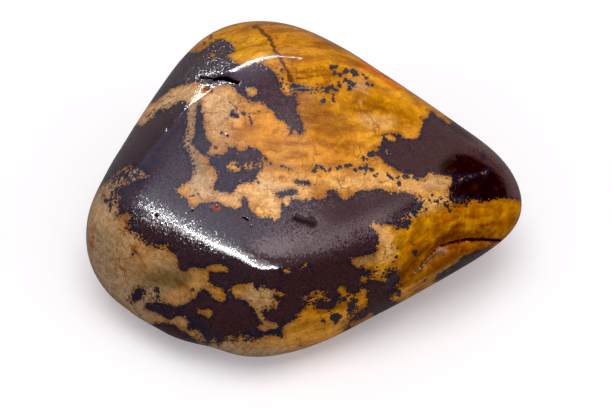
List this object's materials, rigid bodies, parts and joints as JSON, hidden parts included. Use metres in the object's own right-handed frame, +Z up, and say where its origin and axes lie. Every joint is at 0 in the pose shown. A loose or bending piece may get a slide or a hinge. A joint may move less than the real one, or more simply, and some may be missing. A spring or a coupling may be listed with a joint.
{
  "type": "tumbled cappuccino jasper stone",
  "caption": "Polished tumbled stone, a rounded wedge with a blunt tip at one end, resting on a small flat spot.",
  "frame": {"origin": "centre of the stone's box on the plane that it rests on", "axes": "+X along the stone towards its narrow tip, +Y across it towards its raised back, +Z up"},
  "size_m": [0.0378, 0.0294, 0.0206],
  "materials": {
    "stone": "polished"
  },
  "bodies": {
    "root": {"jasper_stone": "stone"}
  },
  "joints": []
}
